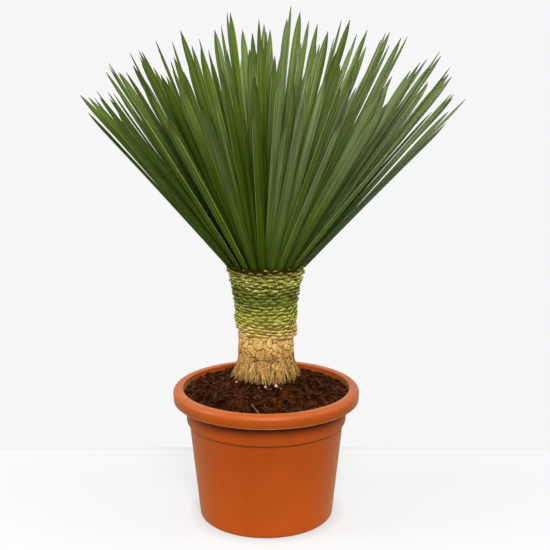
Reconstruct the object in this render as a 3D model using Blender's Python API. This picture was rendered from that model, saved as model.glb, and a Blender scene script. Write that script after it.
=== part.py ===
"""Beaked yucca: a stiff round crown of narrow leaves on a short trunk of cut leaf bases, in a round pot.

Metres, +Z up. The origin is the centre of the pot's flat base, and -Y is the plant's front.
"""

import math
import random

import bmesh
import bpy
from mathutils import Matrix, Vector, noise

# Clearance between pieces that touch
GAP = 0.0003

# Pot, a thin moulded shell turned about Z, whose facets the soil shares
RIM_RADIUS = 0.130
POT_HEIGHT = 0.186
RIM_WIDTH = 0.014
RIM_DEPTH = 0.018
WALL = 0.0026
FLOOR = 0.0035
BASE_RADIUS = 0.0943
BASE_CORNER = 0.0035
BODY_TOP_RADIUS = 0.1075
BODY_TOP = 0.135
COLLAR_BOTTOM = 0.140
COLLAR_RADIUS = 0.1114
COLLAR_TOP_RADIUS = 0.1136
COLLAR_TOP = 0.1665
THROAT_FLARE = (0.0010, 0.0045)
RIM_TURN = (205, -130)
POT_SIDES = 44
DRAIN_HOLES = 8
DRAIN_RADIUS = 0.006
DRAIN_CIRCLE = 0.068

# Soil, a mound that fills the pot and rises to the trunk
SOIL_EDGE_Z = 0.1765
SOIL_TOP_Z = 0.201
SOIL_TOP_RADIUS = 0.0415
MOUND_POWER = 1.15
SOIL_RELIEF = 0.0028
SOIL_GRAIN = 0.011
SOIL_RINGS = 6
# The crumbs start this far out from the mound's top, and reach full height over the second distance
CRUMBS_START = 0.011
CRUMBS_GROW = 0.012

# Trunk: a dry, straw-coloured foot under a green stretch of fresher cut leaf bases
PLUG_RADIUS = 0.038
PLUG_BOTTOM = 0.120
SKIRT_TOP = 0.2345
SKIRT_BOTTOM = SOIL_TOP_Z + 0.003
DRY_TOP = 0.2713
GREEN_TOP = 0.355
COLUMNS = 17
GREEN_ROWS = 16
DRY_ROWS = 6
# A cut base's stub: how far it stands out, then its half-width, half-height and lift as shares of its diamond
GREEN_STAND = 0.0044
GREEN_STAND_SPREAD = 0.0008
GREEN_STUB_WIDTH = (0.74, 0.88)
GREEN_STUB_HEIGHT = (0.36, 0.46)
GREEN_STUB_LIFT = (-0.05, 0.12)
DRY_STAND = (0.0023, 0.0038)
DRY_STUB_WIDTH = (0.66, 0.86)
DRY_STUB_HEIGHT = (0.50, 0.72)
DRY_STUB_LIFT = (-0.1, 0.1)
# The green stubs stand out further from this share of the green stretch up
FLARE_START = 0.62
FLARE_STAND = 0.0018
# How far a stub's sides fall back from its middle, as a share of its stand-out
STUB_ROUNDING = 0.15
# The border between the two colours dips to the right, which fades out over this height each way
BORDER_DIP = 0.0055
BORDER_SPREAD = 0.036
# The trunk's foot under the skirt, as (radius, height)
FOOT = (
    (0.0402, 0.2260),
    (0.0425, 0.2130),
    (0.0435, SKIRT_BOTTOM),
    (PLUG_RADIUS, SKIRT_BOTTOM - 0.0015),
    (PLUG_RADIUS, PLUG_BOTTOM),
)
FIBRES = 36
FIBRE_WIDTH = (0.0044, 0.0068)
FIBRE_THICKNESS = 0.0030
FIBRE_TIP_THICKNESS = 0.0018
FIBRE_SWING = 0.05
# Share of the width at a fibre's root, and the range of the shares at its tip
FIBRE_ROOT_SHARE = 0.75
FIBRE_TIP_SHARE = (0.35, 0.75)
# Where a fibre starts, bends and ends: radius, what the flare adds to it, height and the height's spread
FIBRE_ROOT = (0.0385, 0.0, SKIRT_TOP - 0.002, 0.002)
FIBRE_BEND = (0.0422, 0.0022, 0.2175, 0.002)
FIBRE_END = (0.0462, 0.0056)
FIBRE_END_LIFT = 0.0055
# Radius of the trunk's surface between the cut bases, against height
TRUNK_OUTLINE = (
    (0.2345, 0.0385),
    (0.2550, 0.0382),
    (0.2713, 0.0392),
    (0.3030, 0.0396),
    (0.3180, 0.0416),
    (0.3350, 0.0442),
    (0.3450, 0.0462),
    (0.3550, 0.0490),
)

# Crown: every leaf points away from one centre low in the trunk, and grows from a low dome
LEAF_CENTRE_Z = 0.3003
ROOT_SPACING = 0.0106
ROOT_TURN_SPACING = 0.0032
CROWN_ROOT_RADIUS = 0.0515
ROOT_LIFT = 0.0016
CORE_RADIUS = 0.0523
CORE_RISE = 0.013
CORE_EDGE = 0.0015
CORE_SIDES = 26
# The roots follow this share of the dome's rise, so that the inner ones are sunk deeper
DOME_SHARE = 0.55
CROWN_LEAN = math.radians(1.4)
LEAF_WIDTH = 0.0105
LEAF_KEEL = 0.0017
# A tip's distance from the centre, and how much of it the tilt to the right adds and the outermost leaves lack
LEAF_REACH = (0.346, 0.407)
REACH_TO_RIGHT = 0.058
REACH_FALL = 0.03
LEAF_BOW = (-0.002, 0.007)
LEAF_SWAY = 0.02
TILT_SPREAD = math.radians(1.0)
TWIST_AT_ROOT = math.radians(5)
TWIST_AT_TIP = math.radians(30)
# Along the leaf: share of its length, share of its width, share of its thickness
LEAF_STATIONS = ((0.0, 0.82, 1.0), (0.50, 1.0, 1.0), (0.92, 0.80, 0.80))
# Seeds of the random draws; the crown's gives an even round outline with a few longer leaves to the right
TRUNK_SEED = 7
CROWN_SEED = 1383


def clear_scene():
    for obj in list(bpy.data.objects):
        bpy.data.objects.remove(obj, do_unlink=True)


def material(name, colour, roughness):
    made = bpy.data.materials.new(name)
    made.use_nodes = True
    shader = made.node_tree.nodes["Principled BSDF"]
    shader.inputs["Base Color"].default_value = (*colour, 1.0)
    shader.inputs["Roughness"].default_value = roughness
    shader.inputs["Metallic"].default_value = 0.0
    made.diffuse_color = (*colour, 1.0)
    return made


def object_from(bm, name, finish=None, smooth_angle=None):
    """Turns a bmesh into an object in the scene, with its faces pointing out."""
    bmesh.ops.recalc_face_normals(bm, faces=bm.faces)
    mesh = bpy.data.meshes.new(name)
    bm.to_mesh(mesh)
    bm.free()
    if smooth_angle is not None:
        mesh.shade_smooth()
        mesh.set_sharp_from_angle(angle=smooth_angle)
    if finish:
        mesh.materials.append(finish)
    obj = bpy.data.objects.new(name, mesh)
    bpy.context.scene.collection.objects.link(obj)
    return obj


def arc(centre, radii, start, end, count):
    """Points on an elliptical arc in the (radius, height) plane, with angles in degrees."""
    angles = [math.radians(start + (end - start) * k / (count - 1)) for k in range(count)]
    return [(centre[0] + radii[0] * math.cos(a), centre[1] + radii[1] * math.sin(a)) for a in angles]


def turned(profile, sides):
    """Spins a profile of (radius, height) points, which starts and ends on the axis, into a closed bmesh."""
    bm = bmesh.new()
    verts = [bm.verts.new((r, 0.0, z)) for r, z in profile]
    edges = [bm.edges.new(pair) for pair in zip(verts, verts[1:])]
    bmesh.ops.spin(
        bm,
        geom=verts + edges,
        cent=(0, 0, 0),
        axis=(0, 0, 1),
        angle=math.tau,
        steps=sides,
        use_merge=True,
    )
    bmesh.ops.remove_doubles(bm, verts=bm.verts, dist=1e-6)
    return bm


def union_into(obj, pieces):
    """Joins the pieces to the object with one Boolean on a collection, applies it and removes them."""
    group = bpy.data.collections.new(obj.name + "_pieces")
    bpy.context.scene.collection.children.link(group)
    for piece in pieces:
        bpy.context.scene.collection.objects.unlink(piece)
        group.objects.link(piece)
    join = obj.modifiers.new("join", "BOOLEAN")
    join.operation = "UNION"
    join.operand_type = "COLLECTION"
    join.collection = group
    join.solver = "MANIFOLD"
    apply_modifiers(obj)
    for piece in pieces:
        bpy.data.objects.remove(piece, do_unlink=True)
    bpy.data.collections.remove(group)


def apply_modifiers(obj):
    graph = bpy.context.evaluated_depsgraph_get()
    mesh = bpy.data.meshes.new_from_object(obj.evaluated_get(graph))
    obj.modifiers.clear()
    obj.data = mesh


def pot_inner_points():
    """The pot's inside, from the floor's centre up to where the wall flares into the rim."""
    return [
        (0.0, FLOOR),
        (BASE_RADIUS - WALL - BASE_CORNER, FLOOR),
        (BASE_RADIUS - WALL, FLOOR + BASE_CORNER),
        (BODY_TOP_RADIUS - WALL, BODY_TOP),
        (COLLAR_RADIUS - WALL, COLLAR_BOTTOM),
        (COLLAR_TOP_RADIUS - WALL, COLLAR_TOP),
        (COLLAR_TOP_RADIUS + THROAT_FLARE[0], COLLAR_TOP + THROAT_FLARE[1]),
    ]


def make_pot(finish):
    rim_centre = (RIM_RADIUS - RIM_WIDTH / 2, POT_HEIGHT - RIM_DEPTH / 2)
    rim_half = (RIM_WIDTH / 2, RIM_DEPTH / 2)
    profile = pot_inner_points()
    profile += arc(rim_centre, rim_half, *RIM_TURN, 10)
    profile += [
        (COLLAR_TOP_RADIUS, COLLAR_TOP),
        (COLLAR_RADIUS, COLLAR_BOTTOM),
        (BODY_TOP_RADIUS, BODY_TOP),
    ]
    corner = (BASE_RADIUS - BASE_CORNER, BASE_CORNER)
    profile += arc(corner, (BASE_CORNER, BASE_CORNER), 0, -90, 4)
    profile += [(0.0, 0.0)]
    pot = object_from(turned(profile, POT_SIDES), "pot", finish, math.radians(40))
    drains = []
    for k in range(DRAIN_HOLES):
        bpy.ops.mesh.primitive_cylinder_add(vertices=10, radius=DRAIN_RADIUS, depth=FLOOR * 6)
        drain = bpy.context.active_object
        drain.name = f"drain_cutter_{k}"
        turn = math.tau * (k + 0.5) / DRAIN_HOLES
        drain.location = (DRAIN_CIRCLE * math.cos(turn), DRAIN_CIRCLE * math.sin(turn), 0.0)
        drains.append(drain)
    cut_out(pot, drains)
    return pot


def cut_out(obj, cutters):
    """Cuts each of the cutters from the object, applies the cuts and removes them."""
    for cutter in cutters:
        cut = obj.modifiers.new("cut", "BOOLEAN")
        cut.operation = "DIFFERENCE"
        cut.object = cutter
    apply_modifiers(obj)
    for cutter in cutters:
        bpy.data.objects.remove(cutter, do_unlink=True)


def soil_height(x, y):
    """Height of the soil's surface: a mound with coarse crumbs, smooth beside the trunk."""
    radius = math.hypot(x, y)
    share = (radius - SOIL_TOP_RADIUS) / (RIM_RADIUS - RIM_WIDTH - SOIL_TOP_RADIUS)
    share = min(1.0, max(0.0, share))
    mound = SOIL_TOP_Z - (SOIL_TOP_Z - SOIL_EDGE_Z) * share**MOUND_POWER
    crumbs = noise.noise(Vector((x, y, 0.0)) / SOIL_GRAIN)
    crumbs += 0.6 * noise.noise(Vector((x, y, 1.0)) / SOIL_GRAIN * 2.1)
    growth = min(1.0, max(0.0, (radius - SOIL_TOP_RADIUS - CRUMBS_START) / CRUMBS_GROW))
    return mound + SOIL_RELIEF * crumbs * growth


def make_soil(finish):
    """One solid from the pot's floor to the crumbly top, with a plain hole for the trunk's foot."""
    inner = pot_inner_points()
    edge = RIM_RADIUS - RIM_WIDTH - 2 * GAP
    outside = [(0.0, FLOOR + GAP)]
    outside += [(r - GAP * 1.5, z + GAP) for r, z in inner[1:]]
    hole = PLUG_RADIUS + GAP
    step = (edge - SOIL_TOP_RADIUS) / SOIL_RINGS
    top = [(edge - step * k, SOIL_EDGE_Z) for k in range(SOIL_RINGS + 1)]
    top.append((hole, SOIL_EDGE_Z))
    bottom_of_hole = PLUG_BOTTOM - GAP
    bm = turned(outside + top + [(hole, bottom_of_hole), (0.0, bottom_of_hole)], POT_SIDES)
    for vert in bm.verts:
        if vert.co.z > SOIL_EDGE_Z - GAP:
            vert.co.z = soil_height(vert.co.x, vert.co.y)
    bmesh.ops.triangulate(bm, faces=bm.faces)
    return object_from(bm, "soil", finish)


def trunk_radius(z):
    """The trunk's radius between its cut bases, read from the outline by straight runs."""
    for (z0, r0), (z1, r1) in zip(TRUNK_OUTLINE, TRUNK_OUTLINE[1:]):
        if z <= z1:
            return r0 + (r1 - r0) * max(0.0, z - z0) / (z1 - z0)
    return TRUNK_OUTLINE[-1][1]


def on_trunk(radius, turn, z):
    """A point at this radius, turn and height, moved with the slanting border between the trunk's colours."""
    near = max(0.0, 1.0 - abs(z - DRY_TOP) / BORDER_SPREAD)
    return (radius * math.cos(turn), radius * math.sin(turn), z - BORDER_DIP * math.cos(turn) * near)


def cut_bases(bm, bottom, top, rows, stub_of):
    """Covers a stretch of the trunk with staggered diamonds, each raised into the cut end of one leaf base.

    stub_of(share) gives a stub's stand-out, and its half-width, half-height and lift as shares of a diamond.
    The function returns the stretch's lowest and highest rings.
    """
    step = math.tau / COLUMNS
    pitch = (top - bottom) / rows
    rings = []
    for j in range(rows + 1):
        z = bottom + pitch * j
        turns = [(i + 0.5 * (j % 2)) * step for i in range(COLUMNS)]
        rings.append([bm.verts.new(on_trunk(trunk_radius(z), turn, z)) for turn in turns])
    for j in range(rows - 1):
        shift = j % 2
        for i in range(COLUMNS):
            low, high = rings[j][i], rings[j + 2][i]
            left = rings[j + 1][i - 1 + shift]
            right = rings[j + 1][(i + shift) % COLUMNS]
            stand, wide, tall, lift = stub_of((j + 1) / rows)
            turn = (i + 0.5 * shift) * step
            z = bottom + pitch * (j + 1 + lift)
            radius = trunk_radius(z) + stand
            side_radius = radius - stand * STUB_ROUNDING
            stub_left = bm.verts.new(on_trunk(side_radius, turn - step / 2 * wide, z))
            stub_right = bm.verts.new(on_trunk(side_radius, turn + step / 2 * wide, z))
            stub_low = bm.verts.new(on_trunk(radius, turn, z - pitch * tall))
            stub_high = bm.verts.new(on_trunk(radius, turn, z + pitch * tall))
            for a, b, c, d in (
                (low, right, stub_right, stub_low),
                (right, high, stub_high, stub_right),
                (high, left, stub_left, stub_high),
                (left, low, stub_low, stub_left),
            ):
                bm.faces.new((a, b, c))
                bm.faces.new((a, c, d))
            bm.faces.new((stub_low, stub_right, stub_high))
            bm.faces.new((stub_low, stub_high, stub_left))
    for i in range(COLUMNS):
        after = (i + 1) % COLUMNS
        bm.faces.new((rings[0][i], rings[0][after], rings[1][i]))
        bm.faces.new((rings[-1][i], rings[-1][after], rings[-2][after if rows % 2 else i]))
    return rings[0], rings[-1]


def make_green_trunk(finish):
    """Fresh cut leaf bases, small and flat, which stand out further just under the crown."""
    draw = random.Random(TRUNK_SEED)

    def stub(share):
        flare = max(0.0, (share - FLARE_START) / (1 - FLARE_START))
        stand = GREEN_STAND + FLARE_STAND * flare + draw.uniform(-GREEN_STAND_SPREAD, GREEN_STAND_SPREAD)
        wide = draw.uniform(*GREEN_STUB_WIDTH)
        tall = draw.uniform(*GREEN_STUB_HEIGHT)
        return stand, wide, tall, draw.uniform(*GREEN_STUB_LIFT)

    bm = bmesh.new()
    low, high = cut_bases(bm, DRY_TOP + GAP, GREEN_TOP, GREEN_ROWS, stub)
    bm.faces.new(low)
    bm.faces.new(high)
    return object_from(bm, "trunk_green", finish)


def make_fibre(name, turn, draw):
    """One flat strip of frayed leaf fibre, rooted in the trunk's foot and spreading down to the soil."""
    width = draw.uniform(*FIBRE_WIDTH)
    flare = draw.random()
    drift = draw.uniform(-FIBRE_SWING, FIBRE_SWING)
    stations = []
    for (radius, spread, z, jitter), share in ((FIBRE_ROOT, FIBRE_ROOT_SHARE), (FIBRE_BEND, 1.0)):
        z += draw.uniform(-jitter, jitter)
        stations.append((radius + spread * flare, z, share, FIBRE_THICKNESS))
    end_radius = FIBRE_END[0] + FIBRE_END[1] * flare
    on_soil = soil_height(end_radius, 0.0) + 2 * GAP + FIBRE_TIP_THICKNESS / 2
    end_z = on_soil + draw.uniform(0.0, FIBRE_END_LIFT)
    stations.append((end_radius, end_z, draw.uniform(*FIBRE_TIP_SHARE), FIBRE_TIP_THICKNESS))
    bm = bmesh.new()
    rings = []
    for k, (radius, z, share, thick) in enumerate(stations):
        side = width * share / 2 / radius
        middle = turn + drift * k / (len(stations) - 1)
        corners = ((thick / 2, -side), (thick / 2, side), (-thick / 2, side), (-thick / 2, -side))
        rings.append([bm.verts.new(on_trunk(radius + out, middle + swing, z)) for out, swing in corners])
    for near, far in zip(rings, rings[1:]):
        for i in range(4):
            after = (i + 1) % 4
            bm.faces.new((near[i], near[after], far[after], far[i]))
    bm.faces.new(rings[0])
    bm.faces.new(rings[-1])
    bmesh.ops.triangulate(bm, faces=bm.faces)
    return object_from(bm, name)


def make_dry_trunk(finish):
    """Old straw-coloured bases over a flared skirt of fibres, and the plug that stands in the soil."""
    draw = random.Random(TRUNK_SEED + 1)

    def stub(share):
        stand = draw.uniform(*DRY_STAND)
        wide = draw.uniform(*DRY_STUB_WIDTH)
        tall = draw.uniform(*DRY_STUB_HEIGHT)
        return stand, wide, tall, draw.uniform(*DRY_STUB_LIFT)

    bm = bmesh.new()
    low, high = cut_bases(bm, SKIRT_TOP, DRY_TOP, DRY_ROWS, stub)
    bm.faces.new(high)
    above = low
    for radius, z in FOOT:
        turns = [math.tau * i / COLUMNS for i in range(COLUMNS)]
        ring = [bm.verts.new(on_trunk(radius, turn, z)) for turn in turns]
        for i in range(COLUMNS):
            after = (i + 1) % COLUMNS
            bm.faces.new((above[i], above[after], ring[after], ring[i]))
        above = ring
    bm.faces.new(above)
    trunk = object_from(bm, "trunk_dry", finish)
    union_into(trunk, [make_fibre(f"fibre_{k}", math.tau * k / FIBRES, draw) for k in range(FIBRES)])
    return trunk


def leaf_roots():
    """The leaves' places on a flat spiral, evenly spaced along it, as (radius, turn) from the rim inwards."""
    places = []
    radius, turn = CROWN_ROOT_RADIUS, 0.0
    while radius > ROOT_TURN_SPACING * 0.5:
        places.append((radius, turn))
        turn += ROOT_SPACING / radius
        radius = CROWN_ROOT_RADIUS - ROOT_TURN_SPACING * turn / math.tau
    return places


def make_leaf(name, radius, turn, draw):
    """One stiff keeled blade, three-cornered in section and drawn out to a sharp tip."""
    turn += draw.uniform(-LEAF_SWAY, LEAF_SWAY)
    height_on_dome = CORE_RISE * DOME_SHARE * (1 - (radius / CROWN_ROOT_RADIUS) ** 2)
    root = Vector((radius * math.cos(turn), radius * math.sin(turn), GREEN_TOP + ROOT_LIFT + height_on_dome))
    tilt = math.atan2(radius, root.z - LEAF_CENTRE_Z) + draw.gauss(0, TILT_SPREAD)
    lean = Matrix.Rotation(CROWN_LEAN, 3, "Y")
    along = lean @ Vector((math.sin(tilt) * math.cos(turn), math.sin(tilt) * math.sin(turn), math.cos(tilt)))
    across = lean @ Vector((-math.sin(turn), math.cos(turn), 0.0))
    outward = across.cross(along)
    reach = draw.uniform(*LEAF_REACH) * (1 + REACH_TO_RIGHT * along.x)
    reach *= 1 - REACH_FALL * (radius / CROWN_ROOT_RADIUS) ** 4
    length = reach - (root - Vector((0.0, 0.0, LEAF_CENTRE_Z))).length
    bow = draw.uniform(*LEAF_BOW)
    twist_root = draw.gauss(0, TWIST_AT_ROOT)
    twist_more = draw.gauss(0, TWIST_AT_TIP)

    bm = bmesh.new()
    rings = []
    for share, wide, thick in LEAF_STATIONS:
        twist = twist_root + twist_more * share
        side = across * math.cos(twist) + outward * math.sin(twist)
        back = outward * math.cos(twist) - across * math.sin(twist)
        middle = root + along * (length * share) + outward * (bow * share**2)
        half = side * (LEAF_WIDTH / 2 * wide)
        keel = middle + back * (LEAF_KEEL * thick)
        rings.append([bm.verts.new(corner) for corner in (middle - half, keel, middle + half)])
    # Each side is split along the diagonal that bulges out, so that a twisted blade keeps its thickness
    for near, far in zip(rings, rings[1:]):
        for i, after in ((0, 1), (1, 2), (2, 0)):
            corners = [near[i], near[after], far[after], far[i]]
            if twist_more < 0:
                corners = corners[1:] + corners[:1]
            bm.faces.new(corners[:3])
            bm.faces.new((corners[2], corners[3], corners[0]))
    tip = bm.verts.new(root + along * length + outward * bow)
    last = rings[-1]
    for i, after in ((0, 1), (1, 2), (2, 0)):
        bm.faces.new((last[i], last[after], tip))
    bm.faces.new(rings[0])
    return object_from(bm, name)


def make_crown(finish):
    """All the leaves, rooted in the low dome of the growing tip."""
    base = GREEN_TOP + GAP
    profile = [(0.0, base), (CORE_RADIUS, base)]
    profile += arc((0.0, base + CORE_EDGE), (CORE_RADIUS, CORE_RISE), 0, 90, 5)
    crown = object_from(turned(profile, CORE_SIDES), "leaf_crown", finish)
    draw = random.Random(CROWN_SEED)
    leaves = [make_leaf(f"leaf_{k}", radius, turn, draw) for k, (radius, turn) in enumerate(leaf_roots())]
    union_into(crown, leaves)
    return crown


def main():
    clear_scene()
    make_pot(material("pot_plastic", (0.46, 0.080, 0.012), 0.48))
    make_soil(material("potting_soil", (0.045, 0.016, 0.007), 0.95))
    make_dry_trunk(material("dry_leaf_bases", (0.52, 0.33, 0.13), 0.85))
    make_green_trunk(material("green_leaf_bases", (0.26, 0.26, 0.060), 0.75))
    make_crown(material("leaf", (0.055, 0.095, 0.015), 0.50))


main()
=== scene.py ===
"""Looks of the potted beaked yucca: pot, loose soil, cut leaf bases, frayed fibre and fine blades.

Metres, +Z up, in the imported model's frame. The origin is the centre of the pot's flat base, and -Y is
the front.
"""

import math
import random

import bmesh
import bpy
from mathutils import Matrix, Vector, noise


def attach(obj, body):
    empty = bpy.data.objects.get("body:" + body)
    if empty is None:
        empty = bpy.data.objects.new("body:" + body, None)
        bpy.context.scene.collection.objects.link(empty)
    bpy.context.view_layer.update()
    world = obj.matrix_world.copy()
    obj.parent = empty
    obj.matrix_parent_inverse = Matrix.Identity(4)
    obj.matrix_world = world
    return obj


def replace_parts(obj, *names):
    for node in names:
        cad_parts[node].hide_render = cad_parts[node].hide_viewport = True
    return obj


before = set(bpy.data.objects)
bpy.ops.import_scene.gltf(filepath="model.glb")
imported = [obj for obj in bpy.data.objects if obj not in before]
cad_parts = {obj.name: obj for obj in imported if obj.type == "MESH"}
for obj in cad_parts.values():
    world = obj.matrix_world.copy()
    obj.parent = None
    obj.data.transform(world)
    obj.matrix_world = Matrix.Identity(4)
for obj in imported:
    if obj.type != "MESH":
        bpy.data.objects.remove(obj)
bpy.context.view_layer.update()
BODY = "root"
MARKS = "marks"
UP = Vector((0.0, 0.0, 1.0))

# Camera at the photograph's viewing angle, and the pale floor's far edge
CAMERA_PLACE = (0.0123, -1.3662, 0.6302)
CAMERA_PITCH = math.radians(11.83)
CAMERA_LENS = 66.7
CAMERA_CLIP = (0.05, 50.0)
FLOOR_FRONT = -4.0
FLOOR_BACK = 0.241
FLOOR_HALF_WIDTH = 4.0
FLOOR_LINE = 0.013
FLOOR_LINE_GAP = 0.0005
FLOOR_LINE_SHADE = 0.95
FLOOR_THICKNESS = 0.03
FLOOR_GLOW = 0.58
FLOOR_TONE = 0.25
# A painted contact shadow on the floor round the pot's foot: its reach and tone
PAINTED_CONTACT_SHADOW_REACH = 0.020
PAINTED_CONTACT_SHADOW_TONE = (0.80, 0.765, 0.745)
# The room's brightness by a direction's upward and backward share: two shares, and the glow at each
ROOM_GLOW = (-0.15, 0.35, 0.10, 0.80)
WALL_GLOW = (0.10, 0.70, 0.0, 0.45)
ROOM_SEEN = (0.925, 0.925, 0.925, 1.0)
# Broad lights: name, place, target, size and power
LIGHTS = (
    ("key_light", (0.15, -1.80, 1.45), (0.0, 0.0, 0.25), 0.9, 50.0),
    ("right_light", (1.9, -0.3, 1.5), (0.0, 0.0, 0.35), 1.0, 17.0),
    ("left_light", (-1.9, -0.3, 1.2), (0.0, 0.0, 0.25), 1.0, 23.0),
)

# The solid model's own sizes, which the fine pieces follow
GAP = 0.0003
RIM_RADIUS = 0.130
POT_HEIGHT = 0.186
RIM_WIDTH = 0.014
RIM_DEPTH = 0.018
WALL = 0.0026
FLOOR = 0.0035
BASE_RADIUS = 0.0943
BASE_CORNER = 0.0035
BODY_TOP_RADIUS = 0.1075
BODY_TOP = 0.135
COLLAR_BOTTOM = 0.140
COLLAR_RADIUS = 0.1114
COLLAR_TOP_RADIUS = 0.1136
COLLAR_TOP = 0.1665
THROAT_FLARE = (0.0010, 0.0045)
DRAIN_HOLES = 8
DRAIN_RADIUS = 0.006
DRAIN_CIRCLE = 0.068
DRAIN_SIDES = 32
POT_SIDES = 168
RIM_UNDER = POT_HEIGHT - RIM_DEPTH
RIM_STARTS = RIM_UNDER - 0.0002
RIM_ROUND = (0.0068, 0.0072)
LIP_DEPTH = 0.0042
INNER_EDGE = RIM_RADIUS - RIM_WIDTH

SOIL_EDGE_Z = 0.1765
SOIL_TOP_Z = 0.201
SOIL_TOP_RADIUS = 0.0415
MOUND_POWER = 1.15
SOIL_RELIEF = 0.0028
SOIL_GRAIN = 0.011
CRUMBS_START = 0.011
CRUMBS_GROW = 0.012
# Fine grains on the soil: height, size and layer of the noise, and where they start
FINE_GRAINS = ((0.0010, 0.0036, 3.0), (0.0006, 0.0018, 7.0))
GRAINS_START = 0.040
GRAINS_GROW = 0.008
SOIL_SIDES = 220
SOIL_RINGS = 54

PLUG_RADIUS = 0.038
PLUG_BOTTOM = 0.120
SKIRT_TOP = 0.2345
SKIRT_BOTTOM = SOIL_TOP_Z + 0.003
SKIRT_SAG = 0.0125
DRY_TOP = 0.2713
GREEN_TOP = 0.355
BORDER_DIP = 0.0055
BORDER_SPREAD = 0.036
TRUNK_OUTLINE = (
    (0.2345, 0.0385),
    (0.2550, 0.0382),
    (0.2713, 0.0392),
    (0.3030, 0.0396),
    (0.3180, 0.0416),
    (0.3350, 0.0442),
    (0.3450, 0.0462),
    (0.3550, 0.0490),
)

LEAF_CENTRE_Z = 0.3003
ROOT_SPACING = 0.0106
ROOT_TURN_SPACING = 0.0032
CROWN_ROOT_RADIUS = 0.0515
ROOT_LIFT = 0.0016
CORE_RADIUS = 0.0523
CORE_RISE = 0.013
DOME_SHARE = 0.55
CROWN_LEAN = math.radians(1.4)
LEAF_WIDTH = 0.0105
LEAF_THICKNESS = 0.0013
LEAF_EDGE = 0.0004
LEAF_REACH = (0.346, 0.407)
LONG_REACH = 0.396
LONG_REACH_CUT = 0.5
REACH_TO_RIGHT = 0.058
REACH_FALL = 0.03
RIGHT_LEAN = 0.62
RIGHT_WIDER = 0.16
LEAF_BOW = (-0.002, 0.007)
LEAF_SWAY = 0.02
TILT_SPREAD = math.radians(1.0)
TWIST_AT_ROOT = math.radians(5)
TWIST_AT_TIP = math.radians(30)
CROWN_SEED = 1383


class Shells:
    """Closed shells gathered into one mesh. Every point carries three numbers for its material."""

    def __init__(self):
        self.points = []
        self.faces = []
        self.marks = []

    def add(self, points, faces, marks):
        """Adds a shell with a list of marks, or with one mark for all its points."""
        start = len(self.points)
        self.points.extend(points)
        self.faces.extend([tuple(start + i for i in face) for face in faces])
        self.marks.extend([marks] * len(points) if isinstance(marks, tuple) else marks)

    def piece(self, name, finish, smooth_angle):
        mesh = bpy.data.meshes.new(name)
        mesh.from_pydata(self.points, [], self.faces)
        bm = bmesh.new()
        bm.from_mesh(mesh)
        bmesh.ops.recalc_face_normals(bm, faces=bm.faces)
        bm.to_mesh(mesh)
        bm.free()
        marks = mesh.attributes.new(MARKS, "FLOAT_VECTOR", "POINT")
        marks.data.foreach_set("vector", [number for mark in self.marks for number in mark])
        return shown(mesh, finish, smooth_angle)


def placed(name, data):
    """A new object in the scene with this data."""
    obj = bpy.data.objects.new(name, data)
    bpy.context.scene.collection.objects.link(obj)
    return obj


def mesh_of(bm, name):
    """A mesh of the shape drawn so far."""
    mesh = bpy.data.meshes.new(name)
    bm.to_mesh(mesh)
    bm.free()
    return mesh


def shown(mesh, finish, smooth_angle):
    """Puts a mesh in the scene as a piece that rides on the part's body."""
    mesh.shade_smooth()
    mesh.set_sharp_from_angle(angle=math.radians(smooth_angle))
    mesh.materials.append(finish)
    obj = placed(mesh.name, mesh)
    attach(obj, BODY)
    return obj


def loft(rings):
    """Points and faces of a closed shell through rings of equal length."""
    sides = len(rings[0])
    points = [point for ring in rings for point in ring]
    faces = [tuple(range(sides)), tuple(range(len(points) - sides, len(points)))]
    for start in range(0, len(points) - sides, sides):
        for i in range(sides):
            after = (i + 1) % sides
            faces.append((start + i, start + after, start + sides + after, start + sides + i))
    return points, faces


def around(radius, turn, z):
    return Vector((radius * math.cos(turn), radius * math.sin(turn), z))


def smooth(value):
    """Eases from 0 to 1 with a level start and end."""
    value = min(1.0, max(0.0, value))
    return value * value * (3 - 2 * value)


def rough(place, size, layer):
    """Noise from about -1 to 1 whose bumps measure about this size."""
    return noise.noise(Vector(place) / size + Vector((layer, layer, layer)))


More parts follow.
